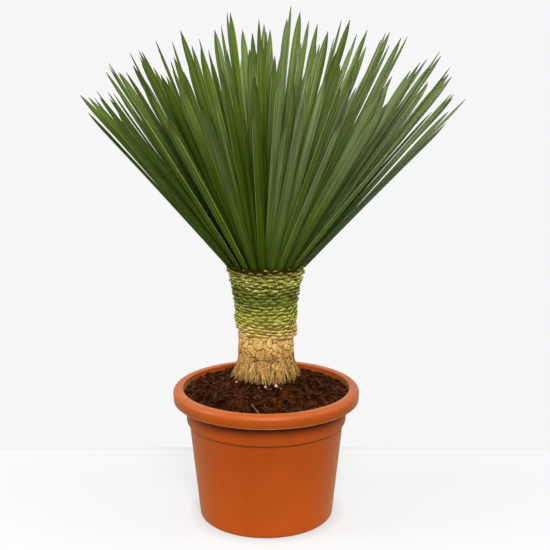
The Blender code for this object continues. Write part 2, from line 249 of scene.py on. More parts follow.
class Nodes:
    """A node tree with short calls that add a node and give its result."""

    def __init__(self, tree):
        self.tree = tree

    def join(self, value, socket):
        if isinstance(value, bpy.types.NodeSocket):
            self.tree.links.new(value, socket)
        elif isinstance(value, tuple) and len(socket.default_value) > len(value):
            socket.default_value = (*value, 1.0)
        else:
            socket.default_value = value

    def node(self, kind, inputs, **settings):
        made = self.tree.nodes.new("ShaderNode" + kind)
        for name, value in settings.items():
            setattr(made, name, value)
        for socket, value in inputs.items():
            self.join(value, made.inputs[socket])
        return made

    def vector(self, x, y, z):
        return self.node("CombineXYZ", {0: x, 1: y, 2: z}).outputs[0]

    def stretched(self, vector, scale):
        return self.node("Mapping", {"Vector": vector, "Scale": scale}).outputs[0]

    def math(self, operation, a, b=0.0, clamp=False):
        return self.node("Math", {0: a, 1: b}, operation=operation, use_clamp=clamp).outputs[0]

    def plus(self, a, b):
        return self.math("ADD", a, b)

    def times(self, a, b):
        return self.math("MULTIPLY", a, b)

    def length(self, vector):
        return self.node("VectorMath", {0: vector}, operation="LENGTH").outputs["Value"]

    def spread(self, value, low, high, to_low=0.0, to_high=1.0):
        inputs = {"Value": value, "From Min": low, "From Max": high, "To Min": to_low, "To Max": to_high}
        return self.node("MapRange", inputs).outputs[0]

    def noise(self, vector, scale, detail=3.0, roughness=0.55, distortion=0.0):
        inputs = {"Vector": vector, "Scale": scale, "Detail": detail}
        inputs |= {"Roughness": roughness, "Distortion": distortion}
        return self.node("TexNoise", inputs).outputs[0]

    def ramp(self, factor, stops):
        made = self.node("ValToRGB", {0: factor})
        elements = made.color_ramp.elements
        while len(elements) < len(stops):
            elements.new(1.0)
        for element, (place, colour) in zip(elements, stops):
            element.position = place
            element.color = (*colour, 1.0)
        return made.outputs[0]

    def mix(self, factor, a, b, blend="MIX"):
        inputs = {0: factor, 6: a, 7: b}
        return self.node("Mix", inputs, data_type="RGBA", blend_type=blend).outputs[2]


class Finish(Nodes):
    """A Principled material and the values that drive it."""

    def __init__(self, name, roughness, specular):
        self.material = bpy.data.materials.new(name)
        self.material.use_nodes = True
        super().__init__(self.material.node_tree)
        self.shader = self.tree.nodes["Principled BSDF"]
        self.shader.inputs["Roughness"].default_value = roughness
        self.shader.inputs["Specular IOR Level"].default_value = specular

    def marks(self):
        read = self.node("Attribute", {}, attribute_name=MARKS)
        split = self.node("SeparateXYZ", {0: read.outputs["Vector"]})
        return tuple(split.outputs)

    def place(self):
        return self.node("TexCoord", {}).outputs["Object"]

    def height(self):
        return self.node("SeparateXYZ", {0: self.place()}).outputs[2]

    def shade(self, colour, amount):
        """The colour times a number."""
        return self.mix(1.0, colour, self.vector(amount, amount, amount), "MULTIPLY")

    def bump(self, height, distance):
        made = self.node("Bump", {"Height": height, "Distance": distance, "Strength": 1.0})
        self.join(made.outputs[0], self.shader.inputs["Normal"])

    def finish(self, colour, roughness=None):
        self.join(colour, self.shader.inputs["Base Color"])
        if roughness is not None:
            self.join(roughness, self.shader.inputs["Roughness"])
        return self.material


def pot_finish():
    """Satin terracotta-orange moulded plastic with a faint mottle, fine scuffs and dull dust.
    It carries painted light: brighter towards the base, a painted shadow under the rim, painted shade on
    the rim's lower part and inner wall, a painted sheen tint on the rim and a painted highlight on the
    lip.
    """
    look = Finish("pot_plastic_satin", 0.46, 0.30)
    look.shader.inputs["Sheen Weight"].default_value = 0.16
    look.shader.inputs["Sheen Roughness"].default_value = 0.45
    look.shader.inputs["Sheen Tint"].default_value = (0.9, 0.8, 0.3, 1.0)
    place = look.place()
    mottle = look.noise(place, 9.0, 3.0)
    dust = look.noise(place, 60.0, 6.0, 0.65)
    streaks = look.noise(look.stretched(place, (90.0, 90.0, 6.0)), 1.0, 3.0, 0.6)
    colour = look.mix(look.spread(mottle, 0.35, 0.65), (0.405, 0.06, 0.003), (0.445, 0.07, 0.0042))
    colour = look.mix(look.spread(dust, 0.6, 0.78, 0.0, 0.07), colour, (0.62, 0.33, 0.19))
    height = look.height()
    # Brighter towards the base: painted light bounced from the floor.
    colour = look.shade(colour, look.spread(height, 0.02, 0.11, 1.16, 1.0))
    # Painted shadow on the collar just under the rim.
    painted_rim_shadow = look.spread(height, RIM_UNDER - 0.024, RIM_UNDER)
    painted_rim_shadow = look.times(painted_rim_shadow, look.math("LESS_THAN", height, RIM_STARTS))
    colour = look.shade(colour, look.spread(painted_rim_shadow, 0.0, 1.0, 1.0, 0.5))
    radius = look.length(look.stretched(place, (1.0, 1.0, 0.0)))
    rim = look.math("GREATER_THAN", height, RIM_STARTS)
    # Painted shade on the rim's lower, down-facing part.
    lower = look.times(look.spread(height, RIM_UNDER + 0.01, RIM_UNDER + 0.004), rim)
    colour = look.shade(colour, look.spread(lower, 0.0, 1.0, 1.0, 0.86))
    # The whole rim is tinted less red than the body: painted sheen on the rim.
    colour = look.mix(rim, colour, (0.9, 1.03, 0.88), "MULTIPLY")
    # Painted shade on the rim's inner wall above the soil.
    painted_throat_shade = look.spread(radius, INNER_EDGE + 0.0006, INNER_EDGE - 0.0004)
    painted_throat_shade = look.times(painted_throat_shade, look.spread(height, RIM_UNDER - 0.001, RIM_UNDER + 0.001))
    colour = look.shade(colour, look.spread(painted_throat_shade, 0.0, 1.0, 1.0, 0.45))
    # A paler ring along the lip's lower edge, varied by the dust: a painted highlight.
    edge = look.math("COMPARE", height, RIM_UNDER + 0.0004)
    edge.node.inputs[2].default_value = 0.0008
    outer = look.math("GREATER_THAN", radius, RIM_RADIUS - 0.003)
    painted_lip_highlight = look.times(look.times(edge, outer), look.spread(dust, 0.35, 0.65, 0.15, 0.5))
    colour = look.mix(painted_lip_highlight, colour, (0.8, 0.42, 0.22))
    grain = look.plus(look.noise(place, 900.0, 2.0), look.times(streaks, 0.6))
    look.bump(grain, 0.00007)
    return look.finish(colour, look.spread(look.plus(dust, streaks), 0.7, 1.4, 0.42, 0.56))


# Colours of crumbs, from the dark gaps to reddish peat
SOIL_COLOURS = (
    (0.37, (0.0025, 0.0006, 0.0002)),
    (0.47, (0.018, 0.0042, 0.0010)),
    (0.56, (0.056, 0.0150, 0.0034)),
    (0.66, (0.150, 0.0500, 0.0150)),
)


def soil_finish():
    """Crumbly potting soil: near-black brown with reddish peat, damper in places."""
    look = Finish("soil_crumbly", 0.95, 0.02)
    place = look.place()
    tone = look.marks()[1]
    coarse = look.noise(place, 110.0, 4.0, 0.7)
    fine = look.noise(place, 700.0, 3.0, 0.7)
    amount = look.plus(look.times(coarse, 0.5), look.times(fine, 0.35))
    amount = look.plus(amount, look.times(tone, 0.15))
    colour = look.ramp(amount, SOIL_COLOURS)
    damp = look.noise(look.stretched(place, (1.0, 1.0, 0.4)), 34.0, 2.0)
    colour = look.shade(colour, look.spread(damp, 0.38, 0.62, 0.68, 1.38))
    look.bump(look.plus(coarse, fine), 0.0012)
    return look.finish(colour)


# Colours of bits in the soil by their tone, from bark to pale chips
LITTER_COLOURS = (
    (0.0, (0.045, 0.020, 0.012)),
    (0.35, (0.105, 0.050, 0.028)),
    (0.65, (0.26, 0.15, 0.085)),
    (0.85, (0.46, 0.29, 0.20)),
    (1.0, (0.66, 0.47, 0.37)),
)


def litter_finish():
    """Bits lying in the soil: dark bark, tan fibre and pale chips."""
    look = Finish("soil_litter", 0.9, 0.08)
    tone = look.marks()[1]
    grain = look.noise(look.place(), 500.0, 3.0)
    colour = look.ramp(tone, LITTER_COLOURS)
    look.bump(grain, 0.0004)
    return look.finish(look.shade(colour, look.spread(grain, 0.3, 0.7, 0.75, 1.2)))


# Colours of the fresh bases up the trunk; the last, darkest stop, right under the crown, is painted shade
# from the leaves above
GREEN_BASE_COLOURS = (
    (0.04, (0.52, 0.36, 0.105)),
    (0.13, (0.48, 0.42, 0.100)),
    (0.26, (0.42, 0.41, 0.070)),
    (0.40, (0.35, 0.36, 0.064)),
    (0.52, (0.150, 0.170, 0.026)),
    (0.68, (0.138, 0.154, 0.022)),
    (0.79, (0.47, 0.440, 0.115)),
    (0.90, (0.47, 0.425, 0.118)),
    (1.00, (0.12, 0.115, 0.018)),
)


def green_bases_finish():
    """Fresh cut leaf bases: bands of olive, green and yellow-green, lighter on the cut ends.
    Painted shade darkens the top band under the crown, and painted light lifts the core in the gaps.
    """
    look = Finish("green_leaf_bases_fresh", 0.62, 0.35)
    cut, tone, shade = look.marks()
    place = look.place()
    drift = look.times(look.math("SUBTRACT", look.noise(place, 45.0, 2.0), 0.5), 0.22)
    band = look.plus(look.spread(look.height(), DRY_TOP - 0.006, GREEN_TOP + 0.0015), drift)
    band = look.plus(band, look.times(look.math("SUBTRACT", tone, 0.5), 0.1))
    colour = look.ramp(band, GREEN_BASE_COLOURS)
    skin = look.mix(0.4, colour, (0.245, 0.245, 0.0))
    colour = look.mix(cut, skin, colour)
    fibres = look.noise(look.stretched(place, (900.0, 900.0, 300.0)), 1.0, 3.0, 0.6)
    light = look.spread(fibres, 0.3, 0.7, 0.8, 1.18)
    light = look.times(light, look.spread(tone, 0.0, 1.0, 0.8, 1.15))
    colour = look.shade(colour, look.times(light, shade))
    look.bump(fibres, 0.0005)
    return look.finish(colour)


# Colours of the dry pads
STRAW_COLOURS = (
    (0.22, (0.50, 0.275, 0.072)),
    (0.42, (0.63, 0.385, 0.115)),
    (0.58, (0.71, 0.465, 0.165)),
    (0.78, (0.81, 0.580, 0.250)),
)


def dry_bases_finish():
    """Dry straw leaf bases: pale pads with brown cracks round them and grain along them."""
    look = Finish("dry_leaf_bases_straw", 0.80, 0.25)
    middle, tone, shade = look.marks()
    place = look.place()
    grain = look.noise(look.stretched(place, (520.0, 520.0, 110.0)), 1.0, 4.0, 0.65, 0.4)
    blotch = look.noise(place, 85.0, 3.0, 0.6)
    straw = look.ramp(look.plus(look.times(tone, 0.18), look.times(blotch, 0.82)), STRAW_COLOURS)
    edge = look.spread(look.plus(middle, look.times(grain, 0.55)), 0.25, 0.7)
    colour = look.mix(edge, (0.27, 0.125, 0.03), straw)
    streaks = look.noise(look.stretched(place, (260.0, 260.0, 75.0)), 1.0, 3.0, 0.6, 1.6)
    colour = look.mix(look.spread(streaks, 0.5, 0.66, 0.0, 0.62), colour, (0.36, 0.19, 0.05))
    low = look.spread(look.height(), 0.252, 0.241)
    colour = look.mix(low, colour, (0.8, 0.7, 0.54), "MULTIPLY")
    knobs = look.spread(look.noise(place, 420.0, 2.0), 0.4, 0.6, 0.6, 1.15)
    light = look.times(look.spread(grain, 0.25, 0.75, 0.7, 1.18), shade)
    light = look.times(light, look.spread(low, 0.0, 1.0, 1.0, knobs))
    look.bump(look.math("SUBTRACT", grain, streaks), 0.0009)
    return look.finish(look.shade(colour, light))


# Colours along a blade, where it is deep green and where it is pale
DEEP_LEAF_COLOURS = (
    (0.00, (0.024, 0.018, 0.003)),
    (0.05, (0.056, 0.090, 0.0006)),
    (0.25, (0.066, 0.130, 0.0008)),
    (0.60, (0.062, 0.112, 0.0016)),
    (0.92, (0.074, 0.118, 0.010)),
    (1.00, (0.066, 0.078, 0.022)),
)
PALE_LEAF_COLOURS = (
    (0.00, (0.024, 0.018, 0.003)),
    (0.05, (0.095, 0.150, 0.008)),
    (0.30, (0.135, 0.215, 0.042)),
    (0.72, (0.245, 0.305, 0.138)),
    (0.92, (0.215, 0.270, 0.115)),
    (1.00, (0.130, 0.150, 0.072)),
)


def leaf_finish():
    """Satin green blades with soft streaks, a pale margin on some and a brown spine.
    Painted light: painted shade on the flanks, a painted lit half and shaded half, and paler blades to the
    right.
    """
    look = Finish("leaf_blade_green", 0.46, 0.14)
    across, along, number_and_tone = look.marks()
    leaf = look.times(look.math("FLOOR", number_and_tone), 7.3)
    # The tone is random, and higher on blades that lean right: painted light from the right.
    tone = look.math("FRACT", number_and_tone)
    streaks = look.noise(look.vector(look.times(across, 3.2), along, leaf), 1.0, 2.0, 0.6)
    ribs = look.noise(look.vector(look.times(across, 6.5), along, leaf), 1.2, 2.0, 0.6)
    patches = look.noise(look.vector(across, look.times(along, 5.0), leaf), 1.0, 2.0)
    deep = look.ramp(along, DEEP_LEAF_COLOURS)
    pale = look.ramp(along, PALE_LEAF_COLOURS)
    paleness_and_painted_light = look.spread(tone, 0.15, 1.0, -0.15, 0.7)
    veins = look.spread(streaks, 0.35, 0.65, -0.3, 0.45)
    green = look.mix(look.math("ADD", paleness_and_painted_light, veins, clamp=True), deep, pale)
    green = look.mix(look.spread(along, 0.98, 1.0), green, (0.07, 0.056, 0.036))
    light = look.spread(ribs, 0.3, 0.7, 0.8, 1.2)
    light = look.times(light, look.spread(patches, 0.3, 0.7, 0.82, 1.18))
    side = look.math("ABSOLUTE", across)
    # Painted shade: darker towards the flanks, as the shadow between blades.
    light = look.times(light, look.spread(side, 0.45, 0.92, 1.04, 0.74))
    # One half of each blade painted lighter and the other darker: painted light and shade of the fold; the
    # same noise picks which margins are pale.
    half_shade_and_margin = look.noise(look.vector(look.math("SIGN", across), 0.0, leaf), 2.7, 0.0)
    light = look.times(light, look.spread(half_shade_and_margin, 0.38, 0.62, 0.88, 1.12))
    colour = look.shade(green, light)
    margin = look.times(look.spread(side, 0.89, 0.96), look.spread(half_shade_and_margin, 0.42, 0.62, 0.0, 0.6))
    margin = look.times(margin, look.spread(along, 0.02, 0.15))
    margin = look.times(margin, look.spread(along, 0.97, 0.9))
    colour = look.mix(margin, colour, (0.42, 0.5, 0.22))
    look.bump(look.times(ribs, look.spread(along, 0.55, 0.85, 1.0, 0.0)), 0.0003)
    look.join(look.spread(along, 0.0, 0.06, 0.0, 0.1), look.shader.inputs["Specular IOR Level"])
    return look.finish(colour, look.spread(patches, 0.3, 0.7, 0.4, 0.56))


def arc(centre, radii, start, end, count):
    """Points on an elliptical arc in the (radius, height) plane, with angles in degrees."""
    angles = [math.radians(start + (end - start) * k / (count - 1)) for k in range(count)]
    return [(centre[0] + radii[0] * math.cos(a), centre[1] + radii[1] * math.sin(a)) for a in angles]


def rounded(points, radius, steps=4):
    """Rounds each inner corner of a (radius, height) line."""
    line = [points[0]]
    for before, corner, after in zip(points, points[1:], points[2:]):
        corner = Vector(corner)
        into, out = Vector(before) - corner, Vector(after) - corner
        reach = min(radius, into.length / 2, out.length / 2)
        start, end = corner + into.normalized() * reach, corner + out.normalized() * reach
        for k in range(steps + 1):
            t = k / steps
            line.append(tuple(start * (1 - t) ** 2 + corner * 2 * t * (1 - t) + end * t * t))
    line.append(points[-1])
    return line


def turned(profile, sides):
    """Spins a profile of (radius, height) points from axis to axis into a closed mesh."""
    bm = bmesh.new()
    verts = [bm.verts.new((r, 0.0, z)) for r, z in profile]
    edges = [bm.edges.new(pair) for pair in zip(verts, verts[1:])]
    spin = {"cent": (0, 0, 0), "axis": (0, 0, 1), "angle": math.tau, "steps": sides, "use_merge": True}
    bmesh.ops.spin(bm, geom=verts + edges, **spin)
    bmesh.ops.remove_doubles(bm, verts=bm.verts, dist=1e-6)
    bmesh.ops.recalc_face_normals(bm, faces=bm.faces)
    return bm


def pot_inner_points():
    """The pot's inside, from the floor's centre up to where the wall flares into the rim."""
    return [
        (0.0, FLOOR),
        (BASE_RADIUS - WALL - BASE_CORNER, FLOOR),
        (BASE_RADIUS - WALL, FLOOR + BASE_CORNER),
        (BODY_TOP_RADIUS - WALL, BODY_TOP),
        (COLLAR_RADIUS - WALL, COLLAR_BOTTOM),
        (COLLAR_TOP_RADIUS - WALL, COLLAR_TOP),
        (COLLAR_TOP_RADIUS + THROAT_FLARE[0], COLLAR_TOP + THROAT_FLARE[1]),
    ]


def make_pot():
    """The moulded shell with a lipped rim, a collar band and drain holes through its floor."""
    shoulder = (RIM_RADIUS - RIM_ROUND[0], POT_HEIGHT - RIM_ROUND[1])
    profile = rounded(pot_inner_points(), 0.003)
    inside = [
        profile[-1],
        (INNER_EDGE + 0.0004, POT_HEIGHT - 0.0128),
        (INNER_EDGE, POT_HEIGHT - 0.0006),
        (INNER_EDGE + 0.0045, POT_HEIGHT),
    ]
    profile += rounded(inside, 0.0009)[1:]
    profile += arc(shoulder, RIM_ROUND, 88, 4, 22)
    lip = [
        profile[-1],
        (RIM_RADIUS - 0.0009, RIM_UNDER),
        (RIM_RADIUS - 0.0022, RIM_UNDER + 0.0004),
        (RIM_RADIUS - 0.0050, RIM_UNDER + LIP_DEPTH),
        (COLLAR_TOP_RADIUS + 0.0010, RIM_UNDER + LIP_DEPTH),
        (COLLAR_TOP_RADIUS, COLLAR_TOP),
        (COLLAR_RADIUS, COLLAR_BOTTOM - 0.0016),
        (BODY_TOP_RADIUS + 0.0003, BODY_TOP + 0.0008),
        (BASE_RADIUS, BASE_CORNER),
    ]
    profile += rounded(lip, 0.0010)[1:]
    corner = (BASE_RADIUS - BASE_CORNER, BASE_CORNER)
    profile += arc(corner, (BASE_CORNER, BASE_CORNER), 0, -90, 12)[1:]
    profile += [(0.0, 0.0)]
    mesh = mesh_of(turned(profile, POT_SIDES), "pot_shell")
    pot = shown(mesh, pot_finish(), 40)
    drains = bmesh.new()
    for k in range(DRAIN_HOLES):
        place = Matrix.Translation(around(DRAIN_CIRCLE, math.tau * (k + 0.5) / DRAIN_HOLES, 0.0))
        sizes = {"radius1": DRAIN_RADIUS, "radius2": DRAIN_RADIUS, "depth": FLOOR * 6}
        bmesh.ops.create_cone(drains, cap_ends=True, segments=DRAIN_SIDES, matrix=place, **sizes)
    cutter = placed("drain_cutters", mesh_of(drains, "drain_cutters"))
    cut = pot.modifiers.new("drains", "BOOLEAN")
    cut.operation = "DIFFERENCE"
    cut.object = cutter
    graph = bpy.context.evaluated_depsgraph_get()
    bored = bpy.data.meshes.new_from_object(pot.evaluated_get(graph))
    pot.modifiers.clear()
    pot.data = bored
    bored.set_sharp_from_angle(angle=math.radians(40))
    bpy.data.objects.remove(cutter, do_unlink=True)
    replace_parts(pot, "pot")


def soil_height(x, y):
    """The solid soil's surface, with fine crumbs on it that fade out beside the trunk."""
    radius = math.hypot(x, y)
    share = (radius - SOIL_TOP_RADIUS) / (INNER_EDGE - SOIL_TOP_RADIUS)
    share = min(1.0, max(0.0, share))
    mound = SOIL_TOP_Z - (SOIL_TOP_Z - SOIL_EDGE_Z) * share**MOUND_POWER
    place = Vector((x, y, 0.0))
    crumbs = noise.noise(place / SOIL_GRAIN) + 0.6 * noise.noise((place + UP) / SOIL_GRAIN * 2.1)
    growth = min(1.0, max(0.0, (radius - SOIL_TOP_RADIUS - CRUMBS_START) / CRUMBS_GROW))
    fine = sum(height * rough(place, size, layer) for height, size, layer in FINE_GRAINS)
    return mound + SOIL_RELIEF * crumbs * growth + fine * smooth((radius - GRAINS_START) / GRAINS_GROW)


def make_soil():
    """The soil as one closed body from the pot's floor to a crumbly top, with the trunk's hole."""
    edge = INNER_EDGE - 2 * GAP
    hole = PLUG_RADIUS + GAP
    profile = [(0.0, FLOOR + GAP)] + [(r - GAP * 1.5, z + GAP) for r, z in pot_inner_points()[1:]]
    profile += [(edge + (hole - edge) * k / SOIL_RINGS, SOIL_EDGE_Z) for k in range(SOIL_RINGS + 1)]
    profile += [(hole, PLUG_BOTTOM - GAP), (0.0, PLUG_BOTTOM - GAP)]
    bm = turned(profile, SOIL_SIDES)
    for vert in bm.verts:
        if vert.co.z > SOIL_EDGE_Z - GAP:
            vert.co.z = soil_height(vert.co.x, vert.co.y)
    mesh = mesh_of(bm, "soil_bed")
    marks = mesh.attributes.new(MARKS, "FLOAT_VECTOR", "POINT")
    marks.data.foreach_set("vector", [0.5] * (3 * len(mesh.vertices)))
    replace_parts(shown(mesh, soil_finish(), 70), "soil")


def on_soil(radius, turn, lift):
    """A place at this height over the soil's surface."""
    x, y = radius * math.cos(turn), radius * math.sin(turn)
    return Vector((x, y, soil_height(x, y) + lift))


def ball(level):
    """Points and faces of a unit icosphere."""
    bm = bmesh.new()
    bmesh.ops.create_icosphere(bm, subdivisions=level, radius=1.0)
    points = [vert.co.copy() for vert in bm.verts]
    faces = [tuple(vert.index for vert in face.verts) for face in bm.faces]
    bm.free()
    return points, faces


LUMP_KNOCK = 0.45
LUMP_KNOCK_SIZE = 1.3


def lump(shells, shape, place, size, draw, tone):
    """One crumb: a ball knocked out of round, turned any way and flattened a little."""
    points, faces = shape
    turn = Matrix.Rotation(draw.uniform(0, math.tau), 3, "X")
    turn @= Matrix.Rotation(draw.uniform(0, math.tau), 3, "Z")
    squash = Vector((draw.uniform(0.7, 1.25), draw.uniform(0.55, 1.0), draw.uniform(0.45, 0.85)))
    layer = draw.uniform(0, 90)
    moved = []
    for point in points:
        bump = 1 + LUMP_KNOCK * noise.noise(point * LUMP_KNOCK_SIZE + Vector((layer, 0, 0)))
        moved.append(place + turn @ (point * squash) * (size * bump))
    shells.add(moved, faces, (0.5, tone, 1.0))


STRAND_SIDES = 6


def strand(path, widths, flatness, facing, least=0.0):
    """A flat strip along a path, with its broad side towards the facing direction."""
    rings = []
    for k, point in enumerate(path):
        along = (path[min(k + 1, len(path) - 1)] - path[max(k - 1, 0)]).normalized()
        side = along.cross(facing).normalized()
        out = side.cross(along).normalized()
        thick = max(least, widths[k] * flatness)
        ring = []
        for i in range(STRAND_SIDES):
            turn = math.tau * (i + 0.5) / STRAND_SIDES
            offset = side * (math.cos(turn) * widths[k] / 2)
            ring.append(point + offset + out * (math.sin(turn) * thick / 2))
        rings.append(ring)
    return loft(rings)


def ring_radius(draw, ring):
    """A radius drawn so that places spread evenly over a ring."""
    return math.sqrt(draw.uniform(ring[0] ** 2, ring[1] ** 2))


CRUMB_SEED = 11
CRUMBS = 2700
CRUMB_RING = (0.0465, 0.1135)
CRUMB_SIZE = 0.0007
CRUMB_SIZE_MORE = 0.0011
LARGE_CRUMB_SIZE = (0.0018, 0.0034)
LARGE_CRUMB_EVERY = 8
HEAP_CRUMBS = 420
HEAP_RING = (0.0455, 0.0535)
HEAP_CRUMB_SIZE = (0.0012, 0.0027)
HEAP_EDGE = 0.0545
HEAP_SPAN = 0.008
HEAP_HEIGHT = 0.0026


def make_soil_crumbs():
    """Loose crumbs over the whole soil, a few of them large, and a low heap against the trunk."""
    draw = random.Random(CRUMB_SEED)
    shells = Shells()
    small, large = ball(1), ball(2)
    for k in range(CRUMBS):
        radius = ring_radius(draw, CRUMB_RING)
        turn = draw.uniform(0, math.tau)
        size = CRUMB_SIZE + CRUMB_SIZE_MORE * draw.random() ** 2
        shape = small
        if k % LARGE_CRUMB_EVERY == 0:
            size = draw.uniform(*LARGE_CRUMB_SIZE)
            shape = large
        place = on_soil(radius, turn, size * draw.uniform(0.0, 0.5))
        lump(shells, shape, place, size, draw, draw.random())
    for _ in range(HEAP_CRUMBS):
        radius = draw.uniform(*HEAP_RING)
        turn = draw.uniform(0, math.tau)
        size = draw.uniform(*HEAP_CRUMB_SIZE)
        heap = HEAP_HEIGHT * smooth((HEAP_EDGE - radius) / HEAP_SPAN) * draw.uniform(0.3, 1.0)
        lump(shells, small, on_soil(radius, turn, heap), size, draw, draw.random())
    shells.piece("soil_crumbs", soil_finish(), 60)


LITTER_SEED = 23
SLIVERS = 420
SLIVER_RING = (0.049, 0.112)
SLIVER_LENGTH = (0.003, 0.012)
SLIVER_BEND = (-0.8, 0.8)
SLIVER_WIDTH = (0.0004, 0.0011)
SLIVER_LIFT = (0.0002, 0.0016)
SLIVER_FLATNESS = 0.6
SLIVER_TAPER = (0.4, 1.0, 1.1, 0.9, 0.3)
SLIVER_TONES = (0.05, 0.1, 0.2, 0.3, 0.4)
# Pale chips that show at the front of the trunk: x, y, half-size and tone
PALE_CHIPS = (
    (0.0137, -0.0515, 0.0030, 0.93),
    (-0.0005, -0.0525, 0.0021, 0.84),
    (0.0065, -0.0555, 0.0013, 0.62),
    (-0.0095, -0.0535, 0.0014, 0.60),
    (-0.0400, -0.0325, 0.0022, 0.80),
    (0.0200, -0.0535, 0.0014, 0.64),
)
PALE_CHIP_LIFT = 0.0010
PALE_BITS = 16
PALE_BIT_RING = (0.050, 0.112)
PALE_BIT_SIZE = (0.0006, 0.0012)
TWIG_FROM = (-0.0190, -0.0868)
TWIG_TO = (-0.0050, -0.1090)
TWIG_WAVE = 0.0006
TWIG_LIFT = 0.0012
TWIG_TONE = 0.58
TWIG_WIDTHS = (0.0009, 0.0013, 0.0012, 0.0013, 0.0012, 0.0011, 0.0007)


def sliver(shells, draw):
    """One bent sliver of bark or peat fibre that lies on the soil."""
    start = around(ring_radius(draw, SLIVER_RING), draw.uniform(0, math.tau), 0.0)
    heading = draw.uniform(0, math.tau)
    length = draw.uniform(*SLIVER_LENGTH)
    bend = draw.uniform(*SLIVER_BEND)
    width = draw.uniform(*SLIVER_WIDTH)
    lift = draw.uniform(*SLIVER_LIFT)
    path = []
    last = len(SLIVER_TAPER) - 1
    for k in range(last + 1):
        share = k / last - 0.5
        way = heading + bend * share
        point = start + Vector((math.cos(way), math.sin(way), 0.0)) * (length * share)
        if math.hypot(point.x, point.y) > CRUMB_RING[1]:
            point *= CRUMB_RING[1] / math.hypot(point.x, point.y)
        point.z = soil_height(point.x, point.y) + lift
        path.append(point)
    widths = [width * w for w in SLIVER_TAPER]
    tone = draw.choice(SLIVER_TONES)
    shells.add(*strand(path, widths, SLIVER_FLATNESS, UP), (0.5, tone, 1.0))


def twig(shells):
    """The pale twig that lies at the front."""
    path = []
    last = len(TWIG_WIDTHS) - 1
    for k in range(last + 1):
        x = TWIG_FROM[0] + (TWIG_TO[0] - TWIG_FROM[0]) * k / last + TWIG_WAVE * math.sin(k * 1.7)
        y = TWIG_FROM[1] + (TWIG_TO[1] - TWIG_FROM[1]) * k / last
        path.append(Vector((x, y, soil_height(x, y) + TWIG_LIFT)))
    shells.add(*strand(path, TWIG_WIDTHS, 1.0, UP), (0.5, TWIG_TONE, 1.0))


def make_soil_litter():
    """Slivers of bark and peat fibre, pale chips near the trunk, small pale bits, and one twig."""
    draw = random.Random(LITTER_SEED)
    shells = Shells()
    for _ in range(SLIVERS):
        sliver(shells, draw)
    shape = ball(2)
    for x, y, size, tone in PALE_CHIPS:
        place = Vector((x, y, soil_height(x, y) + size * 0.6 + PALE_CHIP_LIFT))
        lump(shells, shape, place, size, draw, tone)
    for _ in range(PALE_BITS):
        radius = ring_radius(draw, PALE_BIT_RING)
        turn = draw.uniform(0, math.tau)
        size = draw.uniform(*PALE_BIT_SIZE)
        lump(shells, shape, on_soil(radius, turn, size * 0.5), size, draw, draw.uniform(0.5, 0.8))
    twig(shells)
    shells.piece("soil_litter", litter_finish(), 60)


def trunk_radius(z):
    """The trunk's radius between its cut bases, by straight runs of its outline."""
    for (z0, r0), (z1, r1) in zip(TRUNK_OUTLINE, TRUNK_OUTLINE[1:]):
        if z <= z1:
            return r0 + (r1 - r0) * max(0.0, z - z0) / (z1 - z0)
    return TRUNK_OUTLINE[-1][1]


def border_shift(turn, z):
    """How far the slanting border between the trunk's colours lowers a point."""
    return BORDER_DIP * math.cos(turn) * max(0.0, 1.0 - abs(z - DRY_TOP) / BORDER_SPREAD)


def skirt_top(turn):
    """Where the skirt's fibres start, lower at the trunk's left and right."""
    return SKIRT_TOP - SKIRT_SAG * math.cos(turn) ** 2


CORE_SIDES = 48
CORE_TURNS = [math.tau * i / CORE_SIDES for i in range(CORE_SIDES)]
# The core's shade of 1.1, a little above the bases' average, is painted light that lifts the gaps' bottoms
# out of their shade.
CORE_MARK = (0.0, 0.5, 1.1)


def trunk_core(shells, profile):
    """A plain closed body inside the cut bases, seen only at the bottom of the gaps."""
    rings = []
    for radius, z in profile:
        rings.append([around(radius, turn, z - border_shift(turn, z)) for turn in CORE_TURNS])
    shells.add(*loft(rings), CORE_MARK)


GREEN_SEED = 7
GREEN_COLUMNS = 22
GREEN_ROWS = 18
STRAW_ROWS = 1
STRAW_SINK = 0.0007
GREEN_CORE_DEPTH = 0.0022
GREEN_STAND = 0.0041
# The frill under the crown: its start and growth as shares of the rows, and how its bases change
FRILL_START = 0.60
FRILL_GROW = 0.30
FRILL_STAND = 0.0016
FRILL_DROP = 22
FRILL_POINT = 0.45
BASE_HALF_WIDTH = (0.0055, 0.0073)
BASE_HALF_THICKNESS = (0.0011, 0.0017)
BASE_ARCH = (-0.0002, 0.0011)
BASE_RISE = 40
BASE_POINT_LENGTH = 0.0065
# Rings of a cut base from root to cut end: depth behind the end, shares of width and thickness, cut
BASE_RINGS = (
    (0.0130, 1.00, 1.00, 0.0),
    (0.0060, 1.06, 1.05, 0.0),
    (0.0022, 1.00, 1.00, 0.1),
    (0.0006, 0.94, 0.80, 0.8),
    (0.0000, 0.84, 0.45, 1.0),
)
BASE_SIDES = 14


